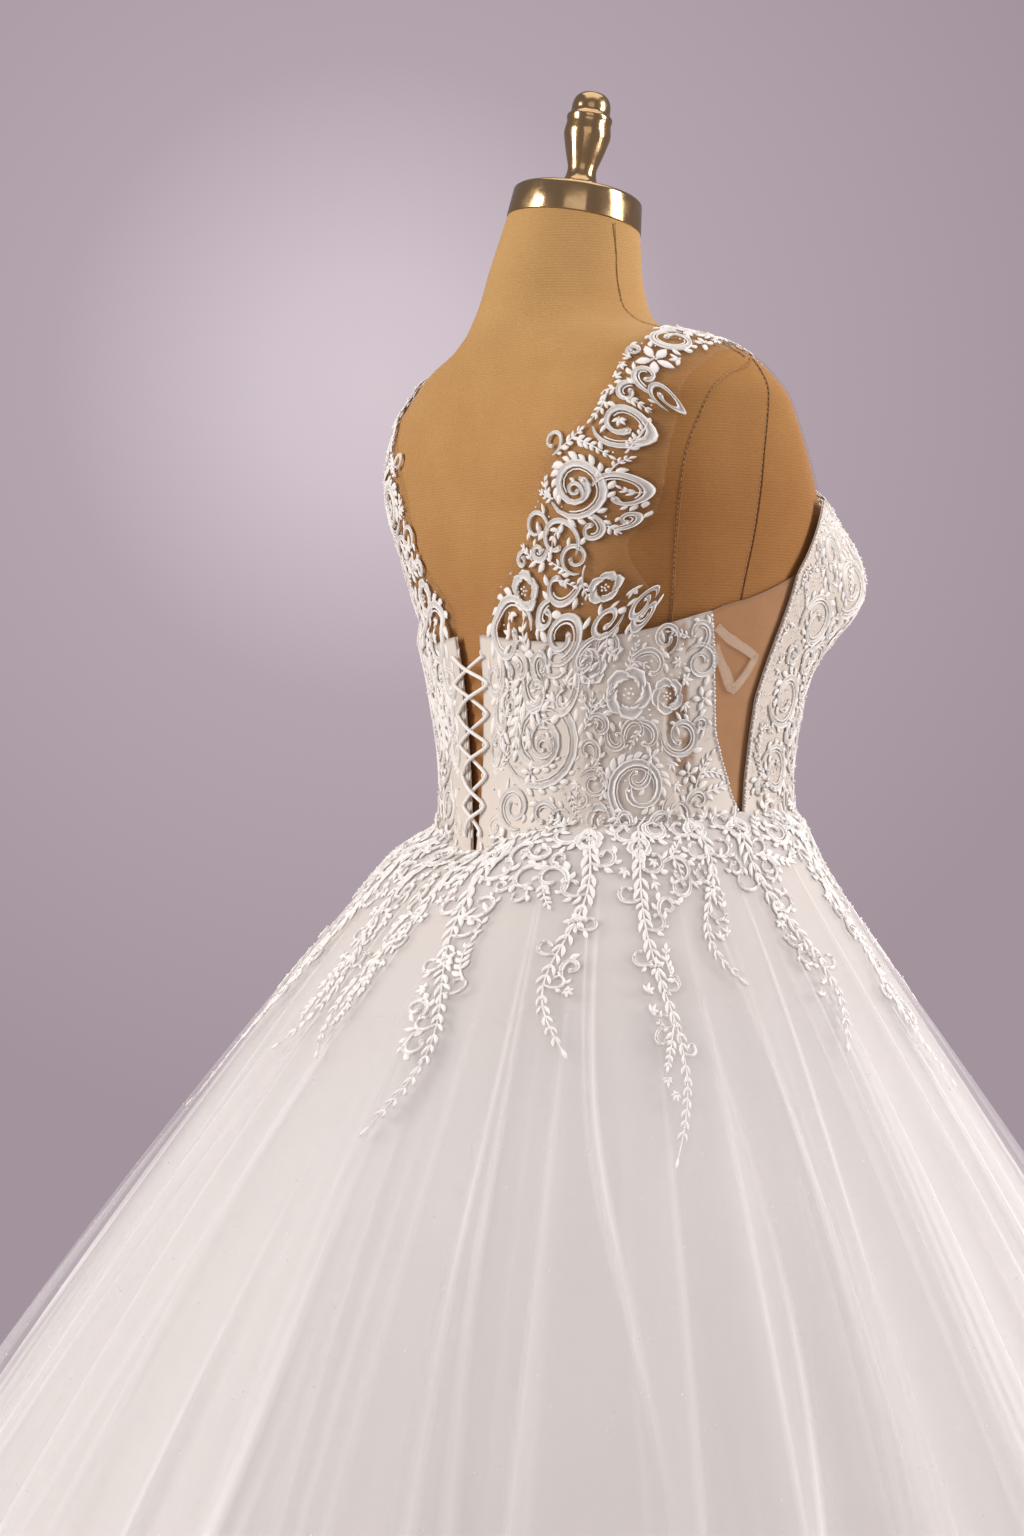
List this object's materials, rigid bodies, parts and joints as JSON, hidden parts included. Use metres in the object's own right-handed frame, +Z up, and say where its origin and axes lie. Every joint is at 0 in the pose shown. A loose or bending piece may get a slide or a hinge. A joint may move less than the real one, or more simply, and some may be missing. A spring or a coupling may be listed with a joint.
{
  "type": "wedding dress on dress form",
  "caption": "Wedding dress with a laced open back, lace straps over net, a fitted bodice and a full tulle skirt, on a tan dress form with a turned brass knob and a round base.",
  "frame": {"origin": "middle of the stand base's flat underside, on the floor and on the axis of the pole", "axes": "+Z up along the pole, -Y to the gown's front, +X to the wearer's left"},
  "size_m": [1.7717, 1.7193, 1.6691],
  "materials": {
    "tan_jersey": "soft ribbed jersey",
    "polished_brass": "polished",
    "grey_steel": "satin grey paint",
    "ivory_satin": "satin",
    "nude_net": "matte see-through net",
    "ivory_tulle": "glittered tulle",
    "ivory_lace": "beaded lace",
    "ivory_cord": "satin cord"
  },
  "bodies": {
    "root": {"form_torso": "tan_jersey", "form_cap": "polished_brass", "form_finial": "polished_brass", "stand_pole": "grey_steel", "stand_base": "grey_steel", "bodice_front": "ivory_satin", "back_panel_left": "ivory_satin", "back_panel_right": "ivory_satin", "side_net_left": "nude_net", "side_net_right": "nude_net", "yoke_net_left": "nude_net", "yoke_net_right": "nude_net", "strap_lace_left": "ivory_lace", "back_lace_left": "ivory_lace", "front_lace_left": "ivory_lace", "hip_lace_left": "ivory_lace", "lacing_loops_left": "ivory_cord", "hanger_ribbon_left": "ivory_satin", "strap_lace_right": "ivory_lace", "back_lace_right": "ivory_lace", "front_lace_right": "ivory_lace", "hip_lace_right": "ivory_lace", "lacing_loops_right": "ivory_cord", "hanger_ribbon_right": "ivory_satin", "lacing_cord_over": "ivory_cord", "lacing_cord_under": "ivory_cord", "overskirt_gore_1": "ivory_tulle", "overskirt_gore_2": "ivory_tulle", "overskirt_gore_3": "ivory_tulle", "overskirt_gore_4": "ivory_tulle", "overskirt_gore_5": "ivory_tulle", "overskirt_gore_6": "ivory_tulle", "overskirt_gore_7": "ivory_tulle", "overskirt_gore_8": "ivory_tulle", "underskirt_panel_1": "ivory_satin", "underskirt_panel_2": "ivory_satin", "underskirt_panel_3": "ivory_satin", "underskirt_panel_4": "ivory_satin", "underskirt_panel_5": "ivory_satin", "underskirt_panel_6": "ivory_satin"}
  },
  "joints": []
}
